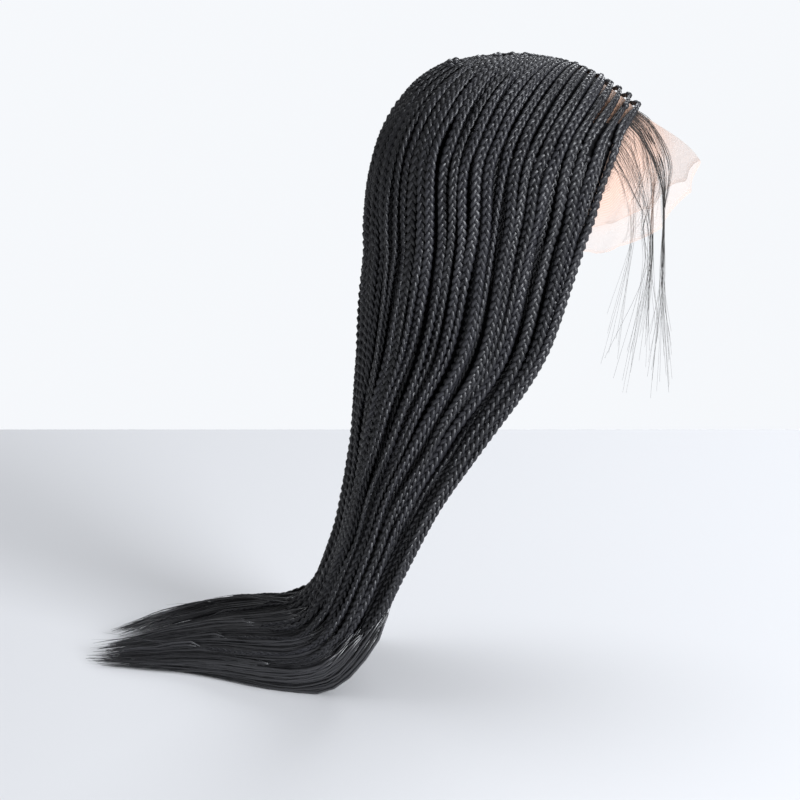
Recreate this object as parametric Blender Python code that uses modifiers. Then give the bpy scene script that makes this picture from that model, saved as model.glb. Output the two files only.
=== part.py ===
"""Braid wig: a lace-front cap that carries long box braids, gathered here in thick locks.

Run with: blender --background --python part.py

Sizes in the tables are millimetres, and MM turns them into Blender's metres. +Z is up, -Y is towards
the wearer's face and +X is the wearer's left. The origin is on the inside of the cap at the crown, where
the head carries the wig. The wig keeps the shape that it has on a head, with its tail out behind it.
"""

from collections import namedtuple
from math import cos, pi, radians, sin

import bmesh
import bpy
from mathutils import Vector

MM = 0.001

# The head that the cap fits: a superellipsoid, longer in front of its centre than behind it.
# Its power is 2 for a plain ellipsoid and more for a fuller one.
HEAD_CENTRE = Vector((0.0, 5.0, -99.9))
HEAD_HALF_WIDTH = 76.0
HEAD_FRONT = 119.0
HEAD_BACK = 77.0
HEAD_HEIGHT = 100.0
POWER_FRONT = 2.05
POWER_BACK = 2.30

# Cap and lace. The seam between them runs from ear to ear, and each is three panels side by side.
CAP_WALL = 1.5
LACE_WALL = 1.2
SEAM_GAP = 0.4
PANEL_GAP_ANGLE = 0.3
EAR_ANGLE = 86.0
CAP_ROWS = 9
LACE_ROWS = 9
LIFT_FROM = 0.68
LIFT_OVER = 0.4
EDGE_WAVE = 0.12
EDGE_WAVES = 5

# Braids: the parting runs from the front hairline to the crown, where a fan of braids takes over.
FAN_SHARE = 0.34
PARTING_EVENNESS = 0.68
CROWN_Y = 7.0
CROWN_RADIUS = 5.0
CROWN_OPENING = 0.25
HAIRLINE_Y = -87.0
PARTING_HALF_WIDTH = 1.5
ROOT_PILE = 5.5
CAP_CLEARANCE = 3.6
LOCKS_A_SIDE = 12
LOCK_GAP = 0.5
RIDGE = 2.2

# Edges of the cap behind the seam and of the lace ahead of it. Both are seen from the head's centre:
# aside is the angle out from the middle plane, and turn is the angle down from the top, backwards for
# the cap and forwards for the lace. Flare is how far the lace's free edge stands off the brow.
CapEdge = namedtuple("CapEdge", "aside turn")
CAP_EDGE = (
    CapEdge(0, 138),
    CapEdge(25, 138),
    CapEdge(42, 136),
    CapEdge(58, 118),
    CapEdge(72, 90),
    CapEdge(86, 60),
)
LaceEdge = namedtuple("LaceEdge", "aside turn flare")
LACE_EDGE = (
    LaceEdge(0, 80, 24),
    LaceEdge(14, 88, 23),
    LaceEdge(26, 100, 16),
    LaceEdge(36, 112, 7),
    LaceEdge(44, 122, 2),
    LaceEdge(52, 128, 0),
    LaceEdge(60, 115, 0),
    LaceEdge(72, 80, 0),
    LaceEdge(86, 38, 0),
)

# Panels of the cap and of the lace, from the wearer's right to the left: the angles aside of their edges.
Panel = namedtuple("Panel", "name start end columns")
CAP_PANELS = (
    Panel("wig_cap_right", -EAR_ANGLE, -30, 6),
    Panel("wig_cap_back", -30, 30, 6),
    Panel("wig_cap_left", 30, EAR_ANGLE, 6),
)
LACE_PANELS = (
    Panel("lace_front_right", -EAR_ANGLE, -30, 9),
    Panel("lace_front_middle", -30, 30, 9),
    Panel("lace_front_left", 30, EAR_ANGLE, 9),
)

# Rings of the hair that lies on the head, from the parting down. Polar is the angle down from the top
# and azimuth the angle round from the back, both seen from the head's centre. Fanning is the share of
# the azimuth that grows evenly from the back, and pile is the height of the hair over the head.
DomeRing = namedtuple("DomeRing", "name polar_front polar_back azimuth_front fanning pile_front pile_back")
DOME_RINGS = (
    DomeRing("high", 60, 40, 150, 0.55, 8.0, 20),
    DomeRing("middle", 76, 66, 136, 0.60, 8.5, 28),
    DomeRing("ear", 104, 110, 125, 0.75, 9.0, 38),
)

# Sections of the hair that hangs and lies, each an arch that is open towards the face and then the table.
# Foot is the middle of the line between its two front edges and crest is its outermost point. The inner
# columns place the arch of the hollow side: its half width, and the share of the way from foot to crest.
Arch = namedtuple("Arch", "name x foot_y foot_z crest_y crest_z half_width inner_half_width inner_share")
ARCHES = (
    Arch("collar", 0, -18, -210, 121, -208, 86, 70, 0.61),
    Arch("shoulder", 0, 27, -279, 124, -262, 85, 66, 0.54),
    Arch("blade", 0, 62, -332, 129, -312, 83, 60, 0.45),
    Arch("waist", 0, 87, -381, 138, -362, 80, 54, 0.35),
    Arch("bend", 1, 110, -430, 152, -401, 78, 50, 0.28),
    Arch("heel", 4, 137, -466, 167, -423, 76, 48, 0.22),
    Arch("landing", 12, 164, -477, 186, -432, 78, 48, 0.16),
    Arch("spread", 26, 196, -478, 209, -439, 80, 48, 0.12),
    Arch("sweep", 45, 232, -478, 238, -448, 77, 46, 0.14),
    Arch("fan", 55, 264, -478, 267, -458, 72, 43, 0.18),
    Arch("thin", 54, 294, -478, 295, -465, 64, 40, 0.24),
    Arch("comb", 46, 320, -478, 320, -470, 50, 34, 0.30),
    Arch("tips", 36, 346, -478, 346, -473, 32, 24, 0.40),
)
ARCH_FULLNESS = 0.07

# Where the sections of a lock lie, counted in rings from the parting, and where it starts to taper.
RINGS_ON_HEAD = len(DOME_RINGS)
SECTIONS_A_RING = 3
NAPE_PLACE = 3.5
TAPER_FROM = 13.0
TAPER_SECTIONS = (0.35, 0.7, 1.0)
TIP_SHARE = 0.28

# The tips of the locks end unevenly: each row is a lock, counted from the front edge to the back.
LockTip = namedtuple("LockTip", "right left")
LOCK_TIPS = (
    LockTip(14.6, 14.2),
    LockTip(15.3, 14.7),
    LockTip(14.8, 14.9),
    LockTip(15.6, 14.4),
    LockTip(15.1, 15.0),
    LockTip(15.8, 14.8),
    LockTip(15.3, 15.2),
    LockTip(15.9, 14.9),
    LockTip(15.5, 15.3),
    LockTip(15.7, 15.0),
    LockTip(15.4, 15.5),
    LockTip(15.9, 15.2),
)

# The outside of a lock has two ridges: share of the width, share of the ridge's height.
LOCK_OUTSIDE = ((0.0, 0.0), (0.25, 1.0), (0.5, 0.3), (0.75, 1.0), (1.0, 0.0))
LOCK_INSIDE = (1.0, 0.5, 0.0)

HAIR_COLOUR = (0.020, 0.020, 0.023, 1.0)
HAIR_ROUGHNESS = 0.45
CAP_COLOUR = (0.012, 0.012, 0.013, 1.0)
CAP_ROUGHNESS = 0.8
LACE_COLOUR = (0.72, 0.50, 0.38, 1.0)
LACE_ROUGHNESS = 0.7

HairRoute = namedtuple("HairRoute", "outer inner piles")


def clear_scene():
    for obj in list(bpy.data.objects):
        bpy.data.objects.remove(obj)


def make_material(name, colour, roughness):
    material = bpy.data.materials.new(name)
    material.use_nodes = True
    shader = material.node_tree.nodes["Principled BSDF"]
    shader.inputs["Base Color"].default_value = colour
    shader.inputs["Roughness"].default_value = roughness
    shader.inputs["Metallic"].default_value = 0.0
    return material


def blend(low, high, share):
    return low + (high - low) * share


def ease(share):
    """Smoothly from 0 to 1, level at both ends."""
    share = min(max(share, 0.0), 1.0)
    return share * share * (3.0 - 2.0 * share)


def read_table(rows, place, column):
    """The column's value at a place along the table's first column, eased between its rows."""
    for before, after in zip(rows, rows[1:]):
        if place <= after[0]:
            share = ease((place - before[0]) / (after[0] - before[0]))
            return blend(getattr(before, column), getattr(after, column), share)
    return getattr(rows[-1], column)


def head_radius(direction):
    """The distance from the head's centre to its surface, in a direction of length 1."""
    length = HEAD_BACK if direction.y > 0 else HEAD_FRONT
    power = blend(POWER_FRONT, POWER_BACK, ease(0.5 + 0.5 * direction.y))
    total = (
        (abs(direction.x) / HEAD_HALF_WIDTH) ** power
        + (abs(direction.y) / length) ** power
        + (abs(direction.z) / HEAD_HEIGHT) ** power
    )
    return total ** (-1.0 / power)


def over_head(direction, lift):
    """The point that stands off the head's surface by a lift."""
    direction = direction.normalized()
    return HEAD_CENTRE + direction * (head_radius(direction) + lift)


def parting_point(side, share):
    """The root of the braid at a share of the way from the back (0) to the front edge (1)."""
    if share < FAN_SHARE:
        turn = 0.5 * pi * share / FAN_SHARE
        return Vector((side * CROWN_RADIUS * sin(turn), CROWN_Y + CROWN_RADIUS * cos(turn), 0.0))
    along = (share - FAN_SHARE) / (1.0 - FAN_SHARE)
    half_width = blend(CROWN_RADIUS, PARTING_HALF_WIDTH, ease(along / CROWN_OPENING))
    forward = PARTING_EVENNESS * along + (1.0 - PARTING_EVENNESS) * along**2
    return Vector((side * half_width, blend(CROWN_Y, HAIRLINE_Y, forward), 0.0))


def upright_direction(spot):
    """The direction from the head's centre to the head's surface straight over a spot."""
    length = HEAD_BACK if spot.y > HEAD_CENTRE.y else HEAD_FRONT
    flat = (spot.x / HEAD_HALF_WIDTH) ** 2 + ((spot.y - HEAD_CENTRE.y) / length) ** 2
    return Vector((spot.x, spot.y - HEAD_CENTRE.y, HEAD_HEIGHT * (1.0 - flat) ** 0.5))


def dome_direction(ring, side, share):
    azimuth = radians(ring.azimuth_front) * (ring.fanning * share + (1.0 - ring.fanning) * share**2)
    polar = radians(blend(ring.polar_back, ring.polar_front, share))
    return Vector((side * sin(polar) * sin(azimuth), sin(polar) * cos(azimuth), cos(polar)))


def arch_point(arch, side, share, half_width, reach):
    """A point on an arch: reach is the share of the way from its foot to its crest."""
    depth = (Vector((0, arch.crest_y, arch.crest_z)) - Vector((0, arch.foot_y, arch.foot_z))) * reach
    evenness = 2.0 * depth.length / (depth.length + half_width)
    turn = 0.5 * pi * (evenness * share + (1.0 - evenness) * share**2)
    fullness = 1.0 + ARCH_FULLNESS * sin(2.0 * turn) ** 2
    foot = Vector((arch.x, arch.foot_y, arch.foot_z))
    return foot + depth * cos(turn) * fullness + Vector((side * half_width * sin(turn) * fullness, 0, 0))


def hair_route(side, share):
    """The outer and inner points and the height over the head at each ring, for one share of the way round."""
    root = parting_point(side, share)
    directions = [upright_direction(root)]
    directions += [dome_direction(ring, side, share) for ring in DOME_RINGS]
    behind = cos(0.5 * pi * share) ** 2
    piles = [ROOT_PILE] + [blend(ring.pile_front, ring.pile_back, behind) for ring in DOME_RINGS]
    outer = [over_head(direction, pile) for direction, pile in zip(directions, piles)]
    inner = [over_head(direction, CAP_CLEARANCE) for direction in directions]
    for arch in ARCHES:
        outer.append(arch_point(arch, side, share, arch.half_width, 1.0))
        inner.append(arch_point(arch, side, share, arch.inner_half_width, arch.inner_share))
    return HairRoute(outer, inner, piles)


def smooth_value(values, place):
    """Catmull-Rom through evenly spaced values."""
    first = min(int(place), len(values) - 2)
    share = place - first
    start, end = values[first], values[first + 1]
    before = values[max(first - 1, 0)]
    after = values[min(first + 2, len(values) - 1)]
    leave, arrive = 0.5 * (end - before), 0.5 * (after - start)
    square, cube = share**2, share**3
    return (
        start * (2 * cube - 3 * square + 1)
        + leave * (cube - 2 * square + share)
        + end * (3 * square - 2 * cube)
        + arrive * (cube - square)
    )


def smooth_point(points, place):
    """A point on a smooth curve through the points, where place 2.5 is halfway from point 2 to point 3."""
    first = min(int(place), len(points) - 2)
    share = place - first
    start, end = points[first], points[first + 1]
    before = points[first - 1] if first > 0 else start
    after = points[first + 2] if first + 2 < len(points) else end
    span = (end - start).length
    leave = (end - before) * (span / (span + (start - before).length))
    arrive = (after - start) * (span / (span + (after - end).length))
    square, cube = share**2, share**3
    return (
        start * (2 * cube - 3 * square + 1)
        + leave * (cube - 2 * square + share)
        + end * (3 * square - 2 * cube)
        + arrive * (cube - square)
    )


def hair_surface(route, place):
    """The outer and inner points at a place along a route. On the head both keep their height over it."""
    outer = smooth_point(route.outer, place)
    if place >= RINGS_ON_HEAD:
        return outer, smooth_point(route.inner, place)
    direction = outer - HEAD_CENTRE
    return over_head(direction, smooth_value(route.piles, place)), over_head(direction, CAP_CLEARANCE)


def lock_places(tip):
    """Where a lock's sections lie: close together on the head, then at the arches, then at its taper."""
    places = [ring / SECTIONS_A_RING for ring in range(RINGS_ON_HEAD * SECTIONS_A_RING)]
    places += [RINGS_ON_HEAD, NAPE_PLACE]
    places += list(range(RINGS_ON_HEAD + 1, int(TAPER_FROM) + 1))
    return places + [blend(TAPER_FROM, tip, share) for share in TAPER_SECTIONS]


def lock_section(routes, place, tip):
    """One closed section of a lock: its ridged outside, then its inside back to the start."""
    narrow = blend(1.0, TIP_SHARE, ease((place - TAPER_FROM) / (tip - TAPER_FROM)))
    outside, inside = zip(*(hair_surface(route, place) for route in routes))
    middle = len(routes) // 2
    centre = blend(inside[middle], outside[middle], 0.5)
    start_gap = (outside[middle] - outside[0]).normalized() * LOCK_GAP * 0.5
    end_gap = (outside[middle] - outside[-1]).normalized() * LOCK_GAP * 0.5
    section = []
    for point, under, (share, height) in zip(outside, inside, LOCK_OUTSIDE):
        gap = start_gap if share == 0.0 else end_gap if share == 1.0 else Vector((0, 0, 0))
        section.append(point + (point - under).normalized() * RIDGE * height + gap)
    for share in LOCK_INSIDE:
        gap = start_gap if share == 0.0 else end_gap if share == 1.0 else Vector((0, 0, 0))
        section.append(inside[round(share * (len(routes) - 1))] + gap)
    return [blend(centre, point, narrow) * MM for point in section]


def make_lock(name, side, start, end, tip, material, collection):
    """A loft of sections. The walls towards the neighbours are split the same way on both sides."""
    routes = [hair_route(side, blend(start, end, share)) for share, _ in LOCK_OUTSIDE]
    mesh = bmesh.new()
    rings = []
    for place in lock_places(tip):
        rings.append([mesh.verts.new(point) for point in lock_section(routes, place, tip)])
    last_outside = len(LOCK_OUTSIDE) - 1
    count = len(rings[0])
    for upper, lower in zip(rings, rings[1:]):
        for here in range(count):
            there = (here + 1) % count
            if here == last_outside:
                mesh.faces.new((upper[here], upper[there], lower[there]))
                mesh.faces.new((upper[here], lower[there], lower[here]))
            elif there == 0:
                mesh.faces.new((upper[there], lower[here], upper[here]))
                mesh.faces.new((upper[there], lower[there], lower[here]))
            else:
                mesh.faces.new((upper[here], upper[there], lower[there], lower[here]))
    mesh.faces.new(rings[0])
    mesh.faces.new(rings[-1])
    bmesh.ops.recalc_face_normals(mesh, faces=mesh.faces)
    data = bpy.data.meshes.new(name)
    mesh.to_mesh(data)
    mesh.free()
    data.materials.append(material)
    collection.objects.link(bpy.data.objects.new(name, data))


def make_locks(collection):
    material = make_material("braid_hair", HAIR_COLOUR, HAIR_ROUGHNESS)
    for word, side in (("right", -1.0), ("left", 1.0)):
        for index, tips in enumerate(LOCK_TIPS):
            start = 1.0 - index / LOCKS_A_SIDE
            end = 1.0 - (index + 1) / LOCKS_A_SIDE
            tip = getattr(tips, word)
            make_lock(f"{word}_lock_{index + 1:02d}", side, start, end, tip, material, collection)


def make_panel(panel, rows, wall, place_point, material, collection):
    """A grid whose corners are placed by a function of the angle aside and a share, with a wall outwards."""
    bpy.ops.mesh.primitive_grid_add(x_subdivisions=panel.columns, y_subdivisions=rows, size=2.0)
    sheet = bpy.context.object
    sheet.name = panel.name
    sheet.data.name = panel.name
    start = panel.start + 0.5 * PANEL_GAP_ANGLE
    end = panel.end - 0.5 * PANEL_GAP_ANGLE
    for corner in sheet.data.vertices:
        aside = blend(start, end, 0.5 * (corner.co.x + 1.0))
        corner.co = place_point(aside, 0.5 * (corner.co.y + 1.0)) * MM
    solidify = sheet.modifiers.new("wall", "SOLIDIFY")
    solidify.thickness = wall * MM
    solidify.offset = 1.0
    solidify.use_even_offset = True
    sheet.data.materials.append(material)
    for owner in list(sheet.users_collection):
        owner.objects.unlink(sheet)
    collection.objects.link(sheet)


def seam_direction(aside, turn):
    """A direction from the head's centre: aside from the middle plane, and turned back from the top."""
    return Vector((sin(aside), cos(aside) * sin(turn), cos(aside) * cos(turn)))


def cap_point(aside, along):
    """Along is 0 at the seam and 1 at the cap's edge."""
    turn = read_table(CAP_EDGE, abs(aside), "turn") * along
    point = over_head(seam_direction(radians(aside), radians(turn)), 0.0)
    point.y += SEAM_GAP * (1.0 - along)
    return point


def lace_point(aside, along):
    """Along is 1 at the seam and 0 at the free edge, so that the sheet faces outwards."""
    forward = 1.0 - along
    turn = -read_table(LACE_EDGE, abs(aside), "turn") * forward
    wave = 1.0 + EDGE_WAVE * cos(EDGE_WAVES * pi * aside / EAR_ANGLE)
    lift = read_table(LACE_EDGE, abs(aside), "flare") * wave * ease((forward - LIFT_FROM) / LIFT_OVER)
    return over_head(seam_direction(radians(aside), radians(turn)), lift)


def make_cap(collection):
    cap_material = make_material("cap_mesh", CAP_COLOUR, CAP_ROUGHNESS)
    lace_material = make_material("lace_net", LACE_COLOUR, LACE_ROUGHNESS)
    for panel in CAP_PANELS:
        make_panel(panel, CAP_ROWS, CAP_WALL, cap_point, cap_material, collection)
    for panel in LACE_PANELS:
        make_panel(panel, LACE_ROWS, LACE_WALL, lace_point, lace_material, collection)


def main():
    clear_scene()
    collection = bpy.data.collections.new("braid_wig")
    bpy.context.scene.collection.children.link(collection)
    make_cap(collection)
    make_locks(collection)


main()
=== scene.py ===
# %% [markdown]
# # Braid wig
# A lace-front wig of thin box braids. The frame holds its construction: a dome-shaped cap, a lace panel
# ahead of it and 24 thick locks. Here each lock is made again from the braids that fill it, every braid
# is plaited from three real strands, and its lower end opens into loose straight hair.

import bpy
import numpy as np
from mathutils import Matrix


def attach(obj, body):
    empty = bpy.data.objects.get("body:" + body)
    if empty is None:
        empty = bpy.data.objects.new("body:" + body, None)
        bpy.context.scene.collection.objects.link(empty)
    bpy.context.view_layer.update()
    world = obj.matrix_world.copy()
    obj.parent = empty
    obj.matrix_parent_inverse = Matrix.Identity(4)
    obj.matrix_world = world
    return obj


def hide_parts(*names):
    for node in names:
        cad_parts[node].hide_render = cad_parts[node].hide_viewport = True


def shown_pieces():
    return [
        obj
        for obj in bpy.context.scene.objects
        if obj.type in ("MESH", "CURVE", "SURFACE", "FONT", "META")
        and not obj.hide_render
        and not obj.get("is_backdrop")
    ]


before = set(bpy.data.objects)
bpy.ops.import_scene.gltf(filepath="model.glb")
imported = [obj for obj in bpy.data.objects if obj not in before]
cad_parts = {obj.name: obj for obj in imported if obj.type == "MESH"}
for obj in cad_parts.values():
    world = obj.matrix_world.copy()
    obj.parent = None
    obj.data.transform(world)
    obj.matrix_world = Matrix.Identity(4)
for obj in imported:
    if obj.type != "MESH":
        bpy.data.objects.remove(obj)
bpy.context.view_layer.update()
MM = 0.001

# %% [markdown]
# ## Camera
# The picture was taken from the wearer's right with a long lens, about 12 degrees above level. The
# camera's distance and the size of a pixel at the wig give the lens.

# %% Camera
PHOTO_PIXELS = 800
PIXEL_SIZE = 0.78 * MM
CAMERA_DISTANCE = 2.0
CAMERA_ELEVATION = np.radians(12.0)
AIM = np.array([0.0, 0.0911, -0.2616])


def add_object(name, data):
    """A new object in the scene, at the origin."""
    added = bpy.data.objects.new(name, data)
    bpy.context.scene.collection.objects.link(added)
    return added


def place_camera():
    """The camera looks along +X and down, from its distance behind the point it aims at."""
    data = bpy.data.cameras.new("camera")
    data.lens = data.sensor_width * CAMERA_DISTANCE / (PIXEL_SIZE * PHOTO_PIXELS)
    camera = add_object("camera", data)
    back = np.array([-np.cos(CAMERA_ELEVATION), 0.0, np.sin(CAMERA_ELEVATION)])
    camera.location = AIM + back * CAMERA_DISTANCE
    camera.rotation_euler = (np.pi / 2 - CAMERA_ELEVATION, 0.0, -np.pi / 2)
    bpy.context.scene.camera = camera
    return data.lens


print(f"camera lens {place_camera():.1f} mm")

# %% [markdown]
# ## Where hair lies
# The braids follow the same surface as the locks of the frame: a superellipsoid head with a pile of hair
# over it, and below the ears a row of arches that are open towards the face. These are the frame's own
# tables, in millimetres, so that every braid stays in the space that its lock holds.

# %% The head and the tables of the hair's form
HEAD_CENTRE = np.array([0.0, 5.0, -99.9])
HEAD_HALF_WIDTH = 76.0
HEAD_FRONT = 119.0
HEAD_BACK = 77.0
HEAD_HEIGHT = 100.0
POWER_FRONT = 2.05
POWER_BACK = 2.30
FAN_SHARE = 0.34
PARTING_EVENNESS = 0.68
CROWN_Y = 7.0
CROWN_RADIUS = 5.0
CROWN_OPENING = 0.25
HAIRLINE_Y = -87.0
PARTING_HALF_WIDTH = 1.5
ROOT_PILE = 5.5
CAP_CLEARANCE = 3.6
ARCH_FULLNESS = 0.07
LOCKS_A_SIDE = 12
SIDE_WORDS = {-1.0: "right", 1.0: "left"}

# polar at front and back, azimuth at front, evenness of the fan, pile at front and back
DOME_RINGS = np.array(
    [
        (60, 40, 150, 0.55, 8.0, 20),
        (76, 66, 136, 0.60, 8.5, 28),
        (104, 110, 125, 0.75, 9.0, 38),
    ]
)
# x, foot y and z, crest y and z, half width, inner half width, inner share of the way to the crest
ARCHES = np.array(
    [
        (0, -18, -210, 121, -208, 86, 70, 0.61),
        (0, 27, -279, 124, -262, 85, 66, 0.54),
        (0, 62, -332, 129, -312, 83, 60, 0.45),
        (0, 87, -381, 138, -362, 80, 54, 0.35),
        (1, 110, -430, 152, -401, 78, 50, 0.28),
        (4, 137, -466, 167, -423, 76, 48, 0.22),
        (12, 164, -477, 186, -432, 78, 48, 0.16),
        (26, 196, -478, 209, -439, 80, 48, 0.12),
        (45, 232, -478, 238, -448, 77, 46, 0.14),
        (55, 264, -478, 267, -458, 72, 43, 0.18),
        (54, 294, -478, 295, -465, 64, 40, 0.24),
        (46, 320, -478, 320, -470, 50, 34, 0.30),
        (36, 346, -478, 346, -473, 32, 24, 0.40),
    ]
)
RINGS_ON_HEAD = len(DOME_RINGS)
LAST_RING = RINGS_ON_HEAD + len(ARCHES)


def ease(share):
    """Smoothly from 0 to 1, level at both ends: 3 s squared less 2 s cubed."""
    share = np.clip(share, 0.0, 1.0)
    return share * share * (3.0 - 2.0 * share)


def unit(vectors):
    """Each row divided by its length."""
    return vectors / np.maximum(np.linalg.norm(vectors, axis=-1, keepdims=True), 1e-9)


def over_head(directions, lift):
    """Points a lift off the head. Along each direction the radius solves
    (x / a)^p + (y / b)^p + (z / c)^p = 1."""
    directions = unit(directions)
    length = np.where(directions[..., 1] > 0, HEAD_BACK, HEAD_FRONT)
    power = POWER_FRONT + (POWER_BACK - POWER_FRONT) * ease(0.5 + 0.5 * directions[..., 1])
    total = (
        (np.abs(directions[..., 0]) / HEAD_HALF_WIDTH) ** power
        + (np.abs(directions[..., 1]) / length) ** power
        + (np.abs(directions[..., 2]) / HEAD_HEIGHT) ** power
    )
    radius = total ** (-1.0 / power) + lift
    return HEAD_CENTRE + directions * radius[..., None]


# %% [markdown]
# ## One braid's route
# A share from 0 at the back to 1 at the front edge picks a line down the hair, and a place counts rings
# from the parting to the tips. The points of the rings are joined by a smooth curve. On the head the
# curve is pushed back to its height over the head, because a curve through few points cuts corners.

# %% Route functions
def parting_point(side, share):
    """The root: along the parting, or on a small arc round the crown where the braids fan out."""
    if share < FAN_SHARE:
        turn = 0.5 * np.pi * share / FAN_SHARE
        return side * CROWN_RADIUS * np.sin(turn), CROWN_Y + CROWN_RADIUS * np.cos(turn)
    along = (share - FAN_SHARE) / (1.0 - FAN_SHARE)
    half_width = CROWN_RADIUS + (PARTING_HALF_WIDTH - CROWN_RADIUS) * ease(along / CROWN_OPENING)
    forward = PARTING_EVENNESS * along + (1.0 - PARTING_EVENNESS) * along**2
    return side * half_width, CROWN_Y + (HAIRLINE_Y - CROWN_Y) * forward


def upright_direction(x, y):
    """The direction from the head's centre to its surface straight over a spot, on an ellipsoid."""
    length = HEAD_BACK if y > HEAD_CENTRE[1] else HEAD_FRONT
    flat = (x / HEAD_HALF_WIDTH) ** 2 + ((y - HEAD_CENTRE[1]) / length) ** 2
    return np.array([x, y - HEAD_CENTRE[1], HEAD_HEIGHT * np.sqrt(1.0 - flat)])


def dome_rings(side, share):
    """Directions on the dome: azimuth grows as k s + (1 - k) s squared, and polar runs straight."""
    polar_front, polar_back, azimuth_front, fanning = DOME_RINGS[:, :4].T
    azimuth = np.radians(azimuth_front) * (fanning * share + (1.0 - fanning) * share**2)
    polar = np.radians(polar_back + (polar_front - polar_back) * share)
    return np.stack(
        [side * np.sin(polar) * np.sin(azimuth), np.sin(polar) * np.cos(azimuth), np.cos(polar)], axis=1
    )


def arch_points(side, share, half_width, reach):
    """Foot + depth cos t + width sin t, made fuller between, with t spread evenly along the arch."""
    x, foot_y, foot_z, crest_y, crest_z = ARCHES[:, :5].T
    depth = np.stack([0 * x, crest_y - foot_y, crest_z - foot_z], axis=1) * reach[:, None]
    deep = np.linalg.norm(depth, axis=1)
    evenness = 2.0 * deep / (deep + half_width)
    turn = 0.5 * np.pi * (evenness * share + (1.0 - evenness) * share**2)
    fullness = 1.0 + ARCH_FULLNESS * np.sin(2.0 * turn) ** 2
    points = np.stack([x, foot_y, foot_z], axis=1) + depth * (np.cos(turn) * fullness)[:, None]
    points[:, 0] += side * half_width * np.sin(turn) * fullness
    return points


def smooth_points(points, place):
    """Hermite curve through the points; each tangent is shared out by the lengths on its two sides."""
    steps = np.diff(points, axis=0)
    spans = np.linalg.norm(steps, axis=1)
    first = np.clip(place.astype(int), 0, len(points) - 2)
    share = (place - first)[:, None]
    before, after = np.maximum(first - 1, 0), np.minimum(first + 2, len(points) - 1)
    span = spans[first]
    span_before = np.where(first > 0, spans[before], 0.0)
    span_after = np.where(first + 2 < len(points), spans[np.minimum(first + 1, len(spans) - 1)], 0.0)
    leave = (points[first + 1] - points[before]) * (span / (span + span_before))[:, None]
    arrive = (points[after] - points[first]) * (span / (span + span_after))[:, None]
    square, cube = share**2, share**3
    return (
        points[first] * (2 * cube - 3 * square + 1)
        + leave * (cube - 2 * square + share)
        + points[first + 1] * (3 * square - 2 * cube)
        + arrive * (cube - square)
    )


def hair_surface(side, share, place):
    """The outer and inner points of the hair along one route, at each place."""
    directions = np.vstack([upright_direction(*parting_point(side, share)), dome_rings(side, share)])
    behind = np.cos(0.5 * np.pi * share) ** 2
    piles = DOME_RINGS[:, 4] + (DOME_RINGS[:, 5] - DOME_RINGS[:, 4]) * behind
    piles = np.concatenate([[ROOT_PILE], piles])
    half_width, inner_half_width, inner_share = ARCHES[:, 5:].T
    arches = arch_points(side, share, half_width, np.ones(len(ARCHES)))
    inner_arches = arch_points(side, share, inner_half_width, inner_share)
    outer = smooth_points(np.vstack([over_head(directions, piles), arches]), place)
    inner = smooth_points(np.vstack([over_head(directions, CAP_CLEARANCE), inner_arches]), place)
    on_head = (place < RINGS_ON_HEAD)[:, None]
    pile = np.interp(place, np.arange(len(piles)), piles)
    outer = np.where(on_head, over_head(outer - HEAD_CENTRE, pile), outer)
    inner = np.where(on_head, over_head(outer - HEAD_CENTRE, CAP_CLEARANCE), inner)
    return outer, inner


middle_route, _ = hair_surface(-1.0, 0.5, np.linspace(0, LAST_RING, 200))
print(f"a middle braid's route is {np.linalg.norm(np.diff(middle_route, axis=0), axis=1).sum():.0f} mm long")

# %% [markdown]
# ## Surfaces from arrays
# Every piece is one or more tubes: a grid of points, with rings along it and corners round it. One
# helper turns a list of such grids into a mesh, closes their ends, and writes a UV map that runs round
# and along each tube in millimetres, so that the fibres in the material follow the hair.

# %% Mesh helpers
def grid_faces(rings, corners, start):
    """Quads between each ring and the next, wrapped round, for a grid whose first vertex is start."""
    ring, corner = np.meshgrid(np.arange(rings - 1), np.arange(corners), indexing="ij")
    beside = (corner + 1) % corners
    return start + np.stack(
        [
            ring * corners + corner,
            (ring + 1) * corners + corner,
            (ring + 1) * corners + beside,
            ring * corners + beside,
        ],
        axis=-1,
    ).reshape(-1, 4)


def grid_uvs(grid):
    """U counts corners as a share of the way round, V is the length along in millimetres, for each quad."""
    rings, corners = grid.shape[:2]
    steps = np.linalg.norm(np.diff(grid.mean(axis=1), axis=0), axis=1)
    along = np.concatenate([[0.0], np.cumsum(steps)])
    ring, corner = np.meshgrid(np.arange(rings - 1), np.arange(corners), indexing="ij")
    u = np.stack([corner, corner, corner + 1, corner + 1], axis=-1) / corners
    v = np.stack([along[ring], along[ring + 1], along[ring + 1], along[ring]], axis=-1)
    return np.stack([u, v], axis=-1).reshape(-1, 2)


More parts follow.
